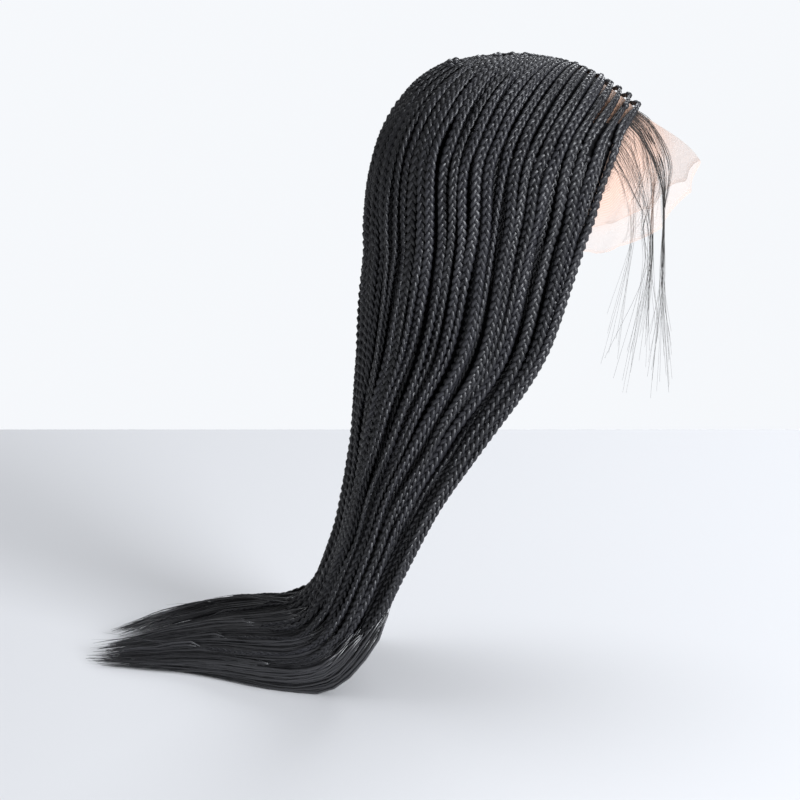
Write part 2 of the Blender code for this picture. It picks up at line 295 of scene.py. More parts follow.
def tube_mesh(name, grids, material, shades=None):
    """One object from many tubes. Ends are closed, and each tube has one random shade for its material."""
    points = np.concatenate([grid.reshape(-1, 3) for grid in grids]) * MM
    starts = np.cumsum([0] + [grid.shape[0] * grid.shape[1] for grid in grids])[:-1]
    quads = np.concatenate(
        [grid_faces(grid.shape[0], grid.shape[1], start) for grid, start in zip(grids, starts)]
    )
    caps = []
    for grid, start in zip(grids, starts):
        rings, corners = grid.shape[:2]
        caps.append(start + np.arange(corners))
        caps.append(start + (rings - 1) * corners + np.arange(corners)[::-1])
    cap_corners = np.concatenate(caps)
    corners_of_faces = np.concatenate([quads.ravel(), cap_corners])
    sizes = np.concatenate([np.full(len(quads), 4), [len(cap) for cap in caps]])
    mesh = bpy.data.meshes.new(name)
    mesh.vertices.add(len(points))
    mesh.vertices.foreach_set("co", points.ravel())
    mesh.loops.add(len(corners_of_faces))
    mesh.loops.foreach_set("vertex_index", corners_of_faces)
    mesh.polygons.add(len(sizes))
    mesh.polygons.foreach_set("loop_start", np.concatenate([[0], np.cumsum(sizes)[:-1]]))
    mesh.polygons.foreach_set("use_smooth", np.ones(len(sizes), dtype=bool))
    uvs = np.concatenate([grid_uvs(grid) for grid in grids] + [np.zeros((len(cap_corners), 2))])
    mesh.uv_layers.new(name="hair").uv.foreach_set("vector", uvs.ravel())
    if shades is None:
        shades = np.full(len(grids), 0.5)
    shade = np.repeat(shades, [grid.shape[0] * grid.shape[1] for grid in grids])
    mesh.attributes.new("shade", "FLOAT", "POINT").data.foreach_set("value", shade)
    mesh.update(calc_edges=True)
    mesh.validate()
    mesh.materials.append(material)
    piece = add_object(name, mesh)
    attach(piece, "root")
    return piece


def triangles(piece):
    """How many triangles the piece's polygons make."""
    return sum(len(polygon.vertices) - 2 for polygon in piece.data.polygons)


def tube(centres, outwards, radii, corners, flatness=1.0):
    """Rings round a line: centre + r (cos a times aside + flatness sin a times outwards)."""
    along = unit(np.gradient(centres, axis=0))
    aside = unit(np.cross(outwards, along))
    outwards = np.cross(along, aside)
    turn = 2.0 * np.pi * np.arange(corners) / corners
    raised = outwards[:, None] * (flatness * np.sin(turn))[None, :, None]
    ring = aside[:, None] * np.cos(turn)[None, :, None] + raised
    return centres[:, None] + ring * np.broadcast_to(radii, len(centres))[:, None, None]


# %% [markdown]
# ## Hair finishes
# Synthetic braiding hair is black with a soft grey sheen, because thousands of parallel fibres each
# catch the light. Fibres could be curves, but there would be millions. One node group makes them
# instead: noise stretched along the strand, which gives a colour, a roughness and a bump. The braids,
# the loose ends and the baby hair use it at their own scale. The loose ends get a lighter colour than
# the braids, as painted sheen, and the hair deep between the layers a darker one, as painted shade.

# %% Node helpers
def feed(tree, node, inputs):
    """Each named input takes a value, or the socket that feeds it."""
    for name, value in inputs.items():
        if isinstance(value, bpy.types.NodeSocket):
            tree.links.new(value, node.inputs[name])
        else:
            node.inputs[name].default_value = value


def add_node(tree, kind, inputs=None, **settings):
    """A node with its settings, then its inputs, because a setting can change which inputs there are."""
    node = tree.nodes.new(kind)
    for name, value in settings.items():
        setattr(node, name, value)
    feed(tree, node, inputs or {})
    return node


def new_group(name, inputs, outputs):
    """An empty group and its ends. An input of four numbers is a colour, and one of a number a value."""
    group = bpy.data.node_groups.new(name, "ShaderNodeTree")
    for socket, value in inputs.items():
        kind = "NodeSocketColor" if isinstance(value, tuple) else "NodeSocketFloat"
        group.interface.new_socket(name=socket, in_out="INPUT", socket_type=kind).default_value = value
    for socket, kind in outputs.items():
        group.interface.new_socket(name=socket, in_out="OUTPUT", socket_type=kind)
    return group, group.nodes.new("NodeGroupInput").outputs, group.nodes.new("NodeGroupOutput")


def new_material(name):
    """A material, its node tree and its Principled shader."""
    material = bpy.data.materials.new(name)
    material.use_nodes = True
    return material, material.node_tree, material.node_tree.nodes["Principled BSDF"]


# %% Fibre node group
NOISE_APART = 97.0
SHADE_LIFT = 0.45
RELIEF_DEPTH = 0.6 * MM


def make_fibre_group():
    """Fibres from noise on the UV map, with many cells round the hair and few along it. A tube's shade
    takes its noise from another place and lifts its tone."""
    group, given, result = new_group(
        "hair_fibres",
        {
            "Dark": (0.01, 0.01, 0.011, 1.0),
            "Light": (0.05, 0.05, 0.055, 1.0),
            "Fibres round": 14.0,
            "Fibres along": 0.08,
            "Rough low": 0.34,
            "Rough high": 0.56,
        },
        {"Color": "NodeSocketColor", "Roughness": "NodeSocketFloat", "Height": "NodeSocketFloat"},
    )
    uv = add_node(group, "ShaderNodeUVMap", uv_map="hair").outputs["UV"]
    cells = {"X": given["Fibres round"], "Y": given["Fibres along"]}
    stretch = add_node(group, "ShaderNodeCombineXYZ", cells).outputs["Vector"]
    scaled = add_node(group, "ShaderNodeVectorMath", {0: uv, 1: stretch}, operation="MULTIPLY")
    shade = add_node(group, "ShaderNodeAttribute", attribute_name="shade").outputs["Fac"]
    spread = add_node(group, "ShaderNodeMath", {0: shade, 1: NOISE_APART}, operation="MULTIPLY")
    apart = add_node(group, "ShaderNodeCombineXYZ", {"Z": spread.outputs["Value"]})
    spot = {0: scaled.outputs["Vector"], 1: apart.outputs["Vector"]}
    moved = add_node(group, "ShaderNodeVectorMath", spot, operation="ADD").outputs["Vector"]
    grain = {"Vector": moved, "Scale": 1.0, "Detail": 3.0, "Roughness": 0.65}
    noise = add_node(group, "ShaderNodeTexNoise", grain).outputs["Fac"]
    spans = {"Value": noise, "From Min": 0.32, "From Max": 0.72, "To Max": 0.75}
    fibre = add_node(group, "ShaderNodeMapRange", spans).outputs["Result"]
    lifted = {0: shade, 1: SHADE_LIFT, 2: fibre}
    tone = add_node(group, "ShaderNodeMath", lifted, operation="MULTIPLY_ADD").outputs["Value"]
    blend = {"Factor": tone, 6: given["Dark"], 7: given["Light"]}
    mix = add_node(group, "ShaderNodeMix", blend, data_type="RGBA", clamp_factor=True)
    ends = {"Value": noise, "To Min": given["Rough high"], "To Max": given["Rough low"]}
    rough = add_node(group, "ShaderNodeMapRange", ends).outputs["Result"]
    feed(group, result, {"Color": mix.outputs[2], "Roughness": rough, "Height": noise})
    return group


FIBRES = make_fibre_group()


def hair_material(name, dark, light, fibres, rough, bump, specular=0.5):
    """A Principled shader fed by the fibre group. Fibres are cells round and along, rough low and high."""
    material, tree, shader = new_material(name)
    values = {
        "Dark": (*dark, 1.0),
        "Light": (*light, 1.0),
        "Fibres round": fibres[0],
        "Fibres along": fibres[1],
        "Rough low": rough[0],
        "Rough high": rough[1],
    }
    made = add_node(tree, "ShaderNodeGroup", values, node_tree=FIBRES).outputs
    heights = {"Height": made["Height"], "Strength": bump, "Distance": RELIEF_DEPTH}
    relief = add_node(tree, "ShaderNodeBump", heights).outputs["Normal"]
    feed(tree, shader, {"Base Color": made["Color"], "Roughness": made["Roughness"], "Normal": relief})
    shader.inputs["Specular IOR Level"].default_value = specular
    return material


BLACK = (0.0068, 0.0068, 0.0077)
BROWN_BLACK = (0.008, 0.007, 0.006)
BRAID_HAIR = hair_material("braid_hair", BLACK, (0.021, 0.021, 0.026), (14.0, 0.12), (0.29, 0.45), 0.5)
# painted sheen: the loose ends are a lighter copy of the braid hair
LOOSE_HAIR = hair_material("loose_hair", BLACK, (0.042, 0.042, 0.047), (8.0, 0.02), (0.24, 0.40), 0.6, 0.85)
# painted shade: the hair deep between the layers is a darker copy of the braid hair
UNDER_HAIR = hair_material("under_hair", BLACK, (0.011, 0.011, 0.012), (40.0, 0.05), (0.7, 0.9), 0.6, 0.05)
BABY_HAIR = hair_material("baby_hair", BROWN_BLACK, (0.030, 0.025, 0.022), (3.0, 0.02), (0.4, 0.6), 0.1)
print("hair finishes:", [m.name for m in (BRAID_HAIR, LOOSE_HAIR, UNDER_HAIR, BABY_HAIR)])

# %% [markdown]
# ## The plait
# In a three-strand plait each strand swings from side to side once a period, and dips under and comes
# over twice. So a strand is x = a sin t and z = b sin 2t along the braid, and the three strands are the
# same line a third of a period apart. One plait could be modelled and bent along each route, but a
# formula keeps its crossings true on every bend. Nine samples a period do for the front layer.

# %% Plait function
PLAIT_PERIOD = 19.0
PLAIT_SWING = 2.1
PLAIT_DIP = 1.1
STRAND_RADIUS = 1.80
STRAND_FLATNESS = 0.80
STRANDS = 3


def even_steps(line, step):
    """Shares of the line's length, a step apart, as fractional indices into the line."""
    lengths = np.concatenate([[0.0], np.cumsum(np.linalg.norm(np.diff(line, axis=0), axis=1))])
    count = max(int(lengths[-1] / step), 4)
    return np.interp(np.linspace(0.0, lengths[-1], count + 1), lengths, np.arange(len(line)))


def pick(rows, index):
    """Rows at fractional indices, straight between their neighbours."""
    whole = np.arange(len(rows))
    return np.stack([np.interp(index, whole, rows[:, axis]) for axis in range(rows.shape[1])], axis=1)


def plait(line, outwards, sizes, twist, samples, corners, phase):
    """Three strand tubes round a line. Sizes scale the plait, and twist turns it about its own length."""
    index = even_steps(line, PLAIT_PERIOD / samples)
    line, outwards = pick(line, index), unit(pick(outwards, index))
    sizes = np.interp(index, np.arange(len(sizes)), sizes)
    twist = np.interp(index, np.arange(len(twist)), twist)
    along = unit(np.gradient(line, axis=0))
    aside = unit(np.cross(outwards, along))
    outwards = np.cross(along, aside)
    turned = aside * np.cos(twist)[:, None] + outwards * np.sin(twist)[:, None]
    raised = outwards * np.cos(twist)[:, None] - aside * np.sin(twist)[:, None]
    grids = []
    for strand in range(STRANDS):
        angle = phase + 2.0 * np.pi * (np.arange(len(line)) / samples + strand / STRANDS)
        centre = line + turned * (sizes * PLAIT_SWING * np.sin(angle))[:, None]
        centre = centre + raised * (sizes * PLAIT_DIP * np.sin(2.0 * angle))[:, None]
        grids.append(tube(centre, raised, sizes * STRAND_RADIUS, corners, STRAND_FLATNESS))
    return grids


# %% [markdown]
# ## Three layers of braids
# A real wig has hundreds of knots, and its braids hang in layers. They could all be plaited alike, but
# the hidden ones would take most of the triangles. So the front layer is plaited in full, a second one
# with fewer samples fills the gaps between its braids, and a third lines the hollow side. Every other
# braid of the front layer starts lower on the head, as the rows of knots do, and where the hair gathers
# every other braid slips under its neighbours.

# %% Wander and spacing
BRAIDS_A_SIDE = 27
BRAID_SPACING = 7.2
rng = np.random.default_rng(26)


def waves(place, size, slowness):
    """A slow random wander: two sines of random phase along the place."""
    phases = rng.uniform(0.0, 2.0 * np.pi, 2)
    return size * (
        0.65 * np.sin(place * 2.0 * np.pi / slowness + phases[0])
        + 0.35 * np.sin(place * 2.0 * np.pi / (0.43 * slowness) + phases[1])
    )


def spacing_of(side, share, place):
    """The width that one braid of the front layer has at each place along its route."""
    half = 0.5 / BRAIDS_A_SIDE
    low, _ = hair_surface(side, max(share - half, 0.0), place)
    high, _ = hair_surface(side, min(share + half, 1.0), place)
    return np.linalg.norm(high - low, axis=1)


sample_places = np.array([0.1, 4.0, 11.0])
sample_spacing = spacing_of(-1.0, 0.5, sample_places)
print("spacing at the root, down the back and on the tail in mm:", np.round(sample_spacing, 1))

# %% How thick a braid is
# as shares of its own size, with the shares and places where that changes
ROOT_SIZE = 0.68
FRONT_ROOT_SIZE = 0.38
GROWN_OVER = 0.40
FRONT_GROWN_OVER = 0.95
THIN_ROOTS_FROM = 0.82
SLOW_ROOTS_FROM = 0.84
FRONT_OVER = 0.08
SIZE_LIMITS = (0.82, 1.04)
TAIL_FROM = 8.6
TAIL_OVER = 1.5
TAIL_THINNING = 0.50
CLOSING_OVER = 0.8
END_THINNING = 0.35
END_THINNING_ON_TOP = 0.88


def sizes_along(share, place, spacing):
    """The size at each place but for the end: thin at the root, as wide as its neighbours let it be, and
    thinner on the tail. Roots near the face are thinner still, and grow more slowly."""
    at_root = ROOT_SIZE + (FRONT_ROOT_SIZE - ROOT_SIZE) * ease((share - THIN_ROOTS_FROM) / FRONT_OVER)
    slower = ease((share - SLOW_ROOTS_FROM) / FRONT_OVER)
    grown_over = GROWN_OVER + (FRONT_GROWN_OVER - GROWN_OVER) * slower
    near_root = at_root + (1.0 - at_root) * ease((place - place[0]) / grown_over)
    in_room = np.clip(spacing / BRAID_SPACING + 0.30, *SIZE_LIMITS)
    return near_root * in_room * (1.0 - TAIL_THINNING * ease((place - TAIL_FROM) / TAIL_OVER))


print("sizes there:", np.round(sizes_along(0.5, sample_places, sample_spacing), 2))

# %% How a braid lies
LINE_POINTS = 260
# all but the drift, a share of the spacing, are in millimetres
ON_TOP = -2.4
DRIFT = 0.50
DEPTH_WANDER = 1.1
RIM_WIDTH = 2.8
INSIDE_MARGIN = 3.0
END_SINK = 2.6
END_SINK_ON_TOP = 3.4


def braid_line(side, share, start, end, depths, wander, size):
    """A braid's line, its outward directions and its sizes. Depths are under the hair's outer surface:
    at the start, where there is room, and where the braids crowd. A braid whose last depth is above the
    surface lies on top of the tail."""
    place = np.linspace(start, end, LINE_POINTS)
    outer, inner = hair_surface(side, share, place)
    outwards = unit(outer - inner)
    aside = unit(np.cross(outwards, unit(np.gradient(outer, axis=0))))
    spacing = spacing_of(side, share, place)
    crowded = ease((BRAID_SPACING - spacing) / (0.45 * BRAID_SPACING)) * ease((place - 2.2) / 1.5)
    settle = ease((place - start - 0.1) / 1.3)
    drift = rng.normal(0.0, DRIFT) * spacing * ease((place - start - 1.0) / 5.0)
    sideways = (waves(place, wander, 3.4) + drift) * settle
    room_ahead = (1.0 - share) * BRAIDS_A_SIDE * spacing - RIM_WIDTH
    sideways = -side * np.minimum(-side * sideways, room_ahead)
    deeper = depths[0] + (depths[1] - depths[0]) * settle + (depths[2] - depths[1]) * crowded
    deeper = deeper + waves(place, DEPTH_WANDER, 3.1) * settle
    room = np.linalg.norm(outer - inner, axis=1)
    deeper = np.minimum(deeper, np.maximum(room - INSIDE_MARGIN, 0.4 * room))
    closing = ease((place - end + CLOSING_OVER) / CLOSING_OVER)
    on_top = depths[2] <= ON_TOP
    sink = END_SINK_ON_TOP if on_top else END_SINK
    line = outer - outwards * (deeper + sink * closing)[:, None] + aside * sideways[:, None]
    sizes = size * sizes_along(share, place, spacing)
    return line, outwards, sizes * (1.0 - (END_THINNING_ON_TOP if on_top else END_THINNING) * closing), place


# %% A braid and its knot
KNOT_RINGS = 6
KNOT_CORNERS = 7
KNOT_SPAN = (-1.8, 3.6)
KNOT_RADIUS = (2.1, 2.9)


def make_braid(side, share, start, end, depths, wander, samples, corners, turning):
    """The strands of one braid, with the knot that ties its root to the cap."""
    size = rng.uniform(0.86, 1.16)
    line, outwards, sizes, place = braid_line(side, share, start, end, depths, wander, size)
    twist = waves(place, turning, 6.0) * ease((place - start - 0.3) / 1.5)
    grids = plait(line, outwards, sizes, twist, samples, corners, rng.uniform(0.0, 2.0 * np.pi))
    knot_line = line[0] + unit(line[3] - line[0]) * np.linspace(*KNOT_SPAN, KNOT_RINGS)[:, None]
    knot_line = knot_line + rng.normal(0.0, 0.35, (1, 3))
    swell = rng.uniform(*KNOT_RADIUS) * np.sqrt(1.0 - np.linspace(-0.97, 0.97, KNOT_RINGS) ** 2)
    grids.append(tube(knot_line, np.broadcast_to(outwards[0], knot_line.shape), swell, KNOT_CORNERS))
    return grids


# %% Braids sorted by lock
def lock_of(share):
    """The number of the lock that a share falls in, counted from 1 at the front edge."""
    return int(np.clip(np.floor((1.0 - share) * LOCKS_A_SIDE), 0, LOCKS_A_SIDE - 1)) + 1


strands_of_lock = {}
shades_of_lock = {}
loose_starts = []


def add_braid(side, share, grids, shade):
    """The strands, and one shade for all of them, go to the lock that the share falls in."""
    key = (side, lock_of(share))
    strands_of_lock.setdefault(key, []).extend(grids)
    shades_of_lock.setdefault(key, []).extend([shade] * len(grids))


print("a braid half way round goes to lock", lock_of(0.5))

# %% Front and second layers
FIRST_TIER_FROM = 0.36
SECOND_TIER_PLACE = 0.54
ROOT_PLACE = 0.05
CROWN_PLACE = 0.09
RIM_SHARE = 0.985
RIM_DEPTHS = (6.5, 12.0)
LONG_SHARE = 0.26
LONG_BEHIND = 0.85
LONG_ENDS = (10.8, 12.8)


def first_tier(side, share):
    """A row from the parting that dives under the knots of the row below it."""
    depths = (1.8, 5.5, 5.5)
    grids = make_braid(side, share, ROOT_PLACE, 1.15, depths, wander=0.3, samples=9, corners=5, turning=0.2)
    add_braid(side, share, grids, rng.random())


def front_layer(side, index):
    """Even braids run from the parting to the floor. Odd ones start at the second row of knots. A few
    stay plaited far along the tail, and lie on top of it."""
    share = 1.0 - (index + 0.35) / BRAIDS_A_SIDE
    if index % 2 == 0:
        at_crown = CROWN_PLACE if index % 4 == 0 else 3.0 * CROWN_PLACE
        start = ROOT_PLACE if share > FAN_SHARE else at_crown
        depths = (1.8, rng.uniform(-0.4, 1.2), rng.uniform(-0.6, 1.0))
    else:
        start = SECOND_TIER_PLACE + rng.uniform(-0.07, 0.07)
        depths = (-0.8, rng.uniform(-0.6, 1.6), rng.uniform(3.0, 5.0))
        if share > FIRST_TIER_FROM:
            first_tier(side, share)
    end = 9.8 - 1.6 * share + rng.uniform(-0.4, 0.4)
    if rng.random() < LONG_SHARE and share < LONG_BEHIND:
        end = rng.uniform(*LONG_ENDS)
        depths = (*depths[:2], ON_TOP)
    grids = make_braid(side, share, start, end, depths, wander=1.3, samples=9, corners=5, turning=0.9)
    add_braid(side, share, grids, rng.random())
    loose_starts.append((side, share, end, depths[2]))


def second_layer(side, index):
    """Thinner sampling, and half a braid aside, so that these fill the gaps of the front layer."""
    share = 1.0 - (index + 0.9) / BRAIDS_A_SIDE
    end = 9.4 - 1.3 * share + rng.uniform(-0.4, 0.4)
    start = 0.55 + 0.75 * ease((share - 0.35) / 0.4) + 0.3 * (index % 2)
    depths = (4.6, 6.4, 7.5)
    grids = make_braid(side, share, start, end, depths, wander=1.2, samples=6, corners=4, turning=0.9)
    # painted shade: this layer lies deeper, so its random tone keeps to the darker part of the range
    add_braid(side, share, grids, 0.6 * rng.random())
    loose_starts.append((side, share, end, 6.5))


def rim_braids(side):
    """Two braids that lie behind the first one, on the edge that faces forwards."""
    for depth in RIM_DEPTHS:
        end = 7.9 + rng.uniform(-0.3, 0.3)
        depths = (depth, depth, depth)
        grids = make_braid(side, RIM_SHARE, 2.7, end, depths, wander=1.0, samples=8, corners=5, turning=0.5)
        add_braid(side, RIM_SHARE, grids, rng.random())
        loose_starts.append((side, RIM_SHARE, end, depth))


for side in (-1.0, 1.0):
    rim_braids(side)
    for index in range(BRAIDS_A_SIDE):
        front_layer(side, index)
    for index in range(BRAIDS_A_SIDE - 1):
        second_layer(side, index)

print("braids:", len(loose_starts), "strand tubes:", sum(len(grids) for grids in strands_of_lock.values()))

# %% [markdown]
# ## The hollow side
# The inside of the hair shows under the cap and between the two front edges. A plain lining would do
# from afar, but braids hang there too. They lie on the inner arches and start at the cap's edge.

# %% Inner braids
INNER_BRAIDS_A_SIDE = 20
INNER_START = 3.05
INNER_ENDS = (8.3, 9.1)
INNER_SIZE = 0.98
INNERMOST = 60.0  # stands for a depth, and marks the loose ends of these braids


def inner_braid(side, share, start, end):
    """A braid that lies on the hollow side, half its thickness inside the hair."""
    place = np.linspace(start, end, 200)
    outer, inner = hair_surface(side, share, place)
    outwards = unit(outer - inner)
    aside = unit(np.cross(outwards, unit(np.gradient(inner, axis=0))))
    raised = 3.0 + np.abs(waves(place, 1.0, 4.0))
    line = inner + outwards * raised[:, None] + aside * waves(place, 1.2, 3.0)[:, None]
    twist = waves(place, 0.4, 5.0)
    sizes = np.full(len(place), INNER_SIZE)
    return plait(line, outwards, sizes, twist, 6, 4, rng.uniform(0.0, 2.0 * np.pi))


for side in (-1.0, 1.0):
    for index in range(INNER_BRAIDS_A_SIDE):
        share = 1.0 - (index + 0.5) / INNER_BRAIDS_A_SIDE
        start = INNER_START + 0.25 * np.cos(0.5 * np.pi * share) ** 2
        end = rng.uniform(*INNER_ENDS)
        # painted shade: braids on the hollow side keep to the darker part of the random tone
        add_braid(side, share, inner_braid(side, share, start, end), 0.5 * rng.random())
        loose_starts.append((side, share, end, INNERMOST))

for (side, number), grids in sorted(strands_of_lock.items()):
    word = SIDE_WORDS[side]
    shades = np.array(shades_of_lock[side, number])
    piece = tube_mesh(f"{word}_braids_{number:02d}", grids, BRAID_HAIR, shades)
    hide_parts(f"{word}_lock_{number:02d}")
    print(piece.name, triangles(piece), "triangles")

# %% [markdown]
# ## Hair under the braids
# Between the layers there is more hair than can be plaited one braid at a time. A dark ribbed sheet of
# it, closed into a thin shell, fills each side between the second and the third layer, so that gaps
# between braids show deep hair and not daylight. Its colour is darker than the braids', as painted
# shade of the deep hair.

# %% Under layer
UNDER_COLUMNS = 44
UNDER_ROWS = 64
UNDER_RIB = 0.8
UNDER_TOP_BACK = 0.15
UNDER_TOP_FRONT = 0.82
UNDER_FRONT_FROM = 0.84
UNDER_FRONT_OVER = 0.05
UNDER_END = 12.6
UNDER_OUTSIDE = (11.0, 0.74)  # depth, and most of the room that it takes
UNDER_INSIDE = (5.5, 0.80)  # height over the hollow side, and least of the room


def under_layer(side):
    """A shell from front edge to back: outer sheet and inner sheet are two depths, joined round."""
    shares = np.linspace(RIM_SHARE, 0.0, UNDER_COLUMNS)
    rings = np.zeros((UNDER_ROWS, 2 * UNDER_COLUMNS, 3))
    for column, share in enumerate(shares):
        at_front = ease((share - UNDER_FRONT_FROM) / UNDER_FRONT_OVER)
        start = UNDER_TOP_BACK + (UNDER_TOP_FRONT - UNDER_TOP_BACK) * at_front
        place = start + (UNDER_END - start) * np.linspace(0.0, 1.0, UNDER_ROWS)
        outer, inner = hair_surface(side, share, place)
        room = np.linalg.norm(outer - inner, axis=1)[:, None]
        outwards = unit(outer - inner)
        rib = UNDER_RIB * (column % 2)
        top = np.minimum(UNDER_OUTSIDE[0] + rib, UNDER_OUTSIDE[1] * room)
        bottom = np.maximum(room - UNDER_INSIDE[0] - rib, UNDER_INSIDE[1] * room)
        rings[:, column] = outer - outwards * top
        rings[:, 2 * UNDER_COLUMNS - 1 - column] = outer - outwards * bottom
    return rings if side > 0 else rings[:, ::-1]


for side, word in SIDE_WORDS.items():
    piece = tube_mesh(f"{word}_under_hair", [under_layer(side)], UNDER_HAIR)
    print(piece.name, triangles(piece), "triangles")

# %% [markdown]
# ## Loose ends
# Below its last crossing a braid opens into straight hair. Flat cards with a see-through picture of
# hair would be lighter, but they show their edges. So each braid gets thin tapering locks, with single
# fibres between them, and the tail has a body and a ragged, pointed outline.

# %% Paths of the loose hair
FLOOR_Z = -478.0
WISPS_A_SIDE = 8
WISP_ROWS = 60
WISP_PULL = 0.6


def run_of_hair(side, share, place):
    """Outer and inner points, outward and aside directions of the hair along a route."""
    outer, inner = hair_surface(side, share, place)
    outwards = unit(outer - inner)
    return outer, inner, outwards, unit(np.cross(outwards, unit(np.gradient(outer, axis=0))))


def loose_path(side, share, start, end, depth):
    """Points, outward and aside directions from the last crossing to the tip. Towards the tips the hair
    of a wisp draws together, so that the tail ends in a few points."""
    place = np.linspace(start, end, WISP_ROWS)
    outer, inner, outwards, aside = run_of_hair(side, share, np.minimum(place, LAST_RING))
    wisp_share = (np.floor(share * WISPS_A_SIDE) + 0.5) / WISPS_A_SIDE
    toward, _ = hair_surface(side, min(wisp_share, 1.0), np.minimum(place, LAST_RING))
    run = np.linspace(0.0, 1.0, WISP_ROWS)
    room = np.linalg.norm(outer - inner, axis=1)
    sunk = depth * (1.0 - 0.5 * run) + 4.0 * ease(1.0 - share / 0.3) * ease((place - 9.3) / 1.2)
    deeper = np.clip(sunk, 0.4, np.maximum(room - 1.5, 0.3 * room))
    line = outer + (toward - outer) * (WISP_PULL * run**2)[:, None] - outwards * deeper[:, None]
    line[:, 2] = np.maximum(line[:, 2], FLOOR_Z + 1.0)
    return line, outwards, aside


print("a path of loose hair has", len(loose_path(-1.0, 0.5, 9.0, 15.0, 1.0)[0]), "points")

# %% Loose hairs
def loose_hairs(path, room_ahead, count, radius, rows, corners, stray):
    """Tapering flat hairs beside a path. Each keeps its own offset, which opens below the last crossing
    and shrinks towards the tip, and sways a little. A share of them strays near the tip. Room ahead is
    how far they may lie to either side, so that the front edge stays clean."""
    hairs = []
    lock_height = rng.normal(0.0, 0.9)
    for _ in range(count):
        run = np.linspace(rng.uniform(0.0, 0.10), rng.uniform(0.76, 1.0), rows)
        line, outwards, aside = (pick(rows_of, run * (WISP_ROWS - 1)) for rows_of in path)
        opening = np.clip(run / 0.10, 0.25, 1.0) * (1.0 - 0.5 * run)
        strays = (rng.random() < stray) * ease((run - 0.4) / 0.6)
        wide = rng.normal(0.0, 3.0) * opening + waves(run, 1.0, 0.7) * ease(run / 0.3)
        wide = np.clip(wide + strays * rng.normal(0.0, 7.0), -room_ahead[0], room_ahead[1])
        high = lock_height * ease(run / 0.3) + rng.uniform(-1.8, 1.4) * opening
        high = high + strays * rng.uniform(0.0, 2.5)
        line = line + aside * wide[:, None] + outwards * high[:, None]
        line[:, 2] = np.maximum(line[:, 2], FLOOR_Z + 0.5)
        taper = np.linspace(0.0, 1.0, rows)
        thinning = (1.0 - 0.92 * taper**2) * np.clip(taper / 0.06, 0.5, 1.0)
        radii = rng.uniform(0.7, 1.3) * radius * thinning
        hairs.append(tube(line, outwards + aside * rng.normal(0.0, 0.5), radii, corners, flatness=0.5))
    return hairs


# %% Loose ends
# share of the way round, place of the tip
TAIL_TIPS = np.array(
    [(0.0, 15.0), (0.15, 15.2), (0.4, 15.5), (0.62, 15.8), (0.8, 15.9), (0.93, 15.0), (1.0, 12.6)]
)
LEFT_TIPS_SHORTER = 0.8
LAST_TIP = LAST_RING - 0.1
INNER_TIP = 11.8
LOCK_RADIUS = 1.05
FIBRE_RADIUS = 0.34
LOOSE_ROWS = 12
OUTER_LAYER_ABOVE = 6.0  # a braid less deep than this has the fuller loose end
OUTER_COUNT = 11
INNER_COUNT = 5
LOOSE_DEPTHS = (0.8, 5.0)
NO_LIMIT = 99.0


def loose_end(side, share, start, depth, count):
    """Thin locks with as many single fibres between them, that carry on from one braid."""
    tip = np.interp(share, TAIL_TIPS[:, 0], TAIL_TIPS[:, 1]) + rng.uniform(-0.5, 0.4)
    tip = min(tip - LEFT_TIPS_SHORTER * (side > 0), LAST_TIP)
    if depth == INNERMOST:
        tip = INNER_TIP
    path = loose_path(side, share, start - 0.35, max(tip, start + 1.5), depth)
    ahead = 2.0 + 180.0 * (1.0 - share)
    room = (NO_LIMIT, ahead) if side < 0 else (ahead, NO_LIMIT)
    locks = loose_hairs(path, room, count, LOCK_RADIUS, LOOSE_ROWS, corners=5, stray=0.05)
    return locks + loose_hairs(path, room, count, FIBRE_RADIUS, LOOSE_ROWS, corners=3, stray=0.15)


def thin_far_lock():
    """One thin lock lies apart on top of the tail, and ends early."""
    outer, _, outwards, aside = run_of_hair(1.0, 0.06, np.linspace(8.6, 12.3, WISP_ROWS))
    run = np.linspace(0.0, 1.0, WISP_ROWS)
    path = (outer + outwards * (14.0 * ease(run / 0.80) - 2.0)[:, None], outwards, aside)
    room = (NO_LIMIT, NO_LIMIT)
    locks = loose_hairs(path, room, 8, radius=0.8, rows=15, corners=5, stray=0.0)
    return locks + loose_hairs(path, room, 16, radius=0.3, rows=14, corners=3, stray=0.1)


loose_grids = {-1.0: [], 1.0: thin_far_lock()}
for side, share, end, depth in loose_starts:
    count = OUTER_COUNT if depth < OUTER_LAYER_ABOVE else INNER_COUNT
    deep = depth if depth == INNERMOST else float(np.clip(depth, *LOOSE_DEPTHS))
    loose_grids[side] += loose_end(side, share, end, deep, count)

for side, word in SIDE_WORDS.items():
    grids = loose_grids[side]
    piece = tube_mesh(f"{word}_loose_ends", grids, LOOSE_HAIR, rng.random(len(grids)))
    print(piece.name, triangles(piece), "triangles")

# %% [markdown]
# ## Lace front
# The lace is a sheer net in a skin tone, fine enough to vanish on a forehead. Its free edge is left
# uncut here and stands off the brow in a shallow wave. Threads could be tubes, but so fine a net has
# far too many. So it is one bent sheet, and its see-through look comes from the material: threads are
# solid, and the holes between them let light through.

# %% Form of the lace
# degrees aside, degrees forwards to the free edge, and how far off the head that edge stands
LACE_EDGE = np.array(
    [
        (0, 80, 24),
        (14, 88, 23),
        (26, 100, 16),
        (36, 112, 7),
        (44, 122, 2),
        (52, 128, 0),
        (60, 115, 0),
        (72, 80, 0),
        (86, 38, 0),
    ]
)
EAR_ANGLE = 86.0
LACE_LIFT = 0.9
LIFT_FROM = 0.68
LIFT_OVER = 0.4
EDGE_WAVE = 0.12
EDGE_WAVES = 5
LACE_COLUMNS = 128
LACE_ROWS = 48


def eased_table(table, column, place):
    """Values of a column, eased between the rows whose first column is on either side of the place."""
    rows = table[:, 0]
    before = np.clip(np.searchsorted(rows, place, side="right") - 1, 0, len(rows) - 2)
    share = ease((place - rows[before]) / (rows[before + 1] - rows[before]))
    return table[before, column] * (1.0 - share) + table[before + 1, column] * share


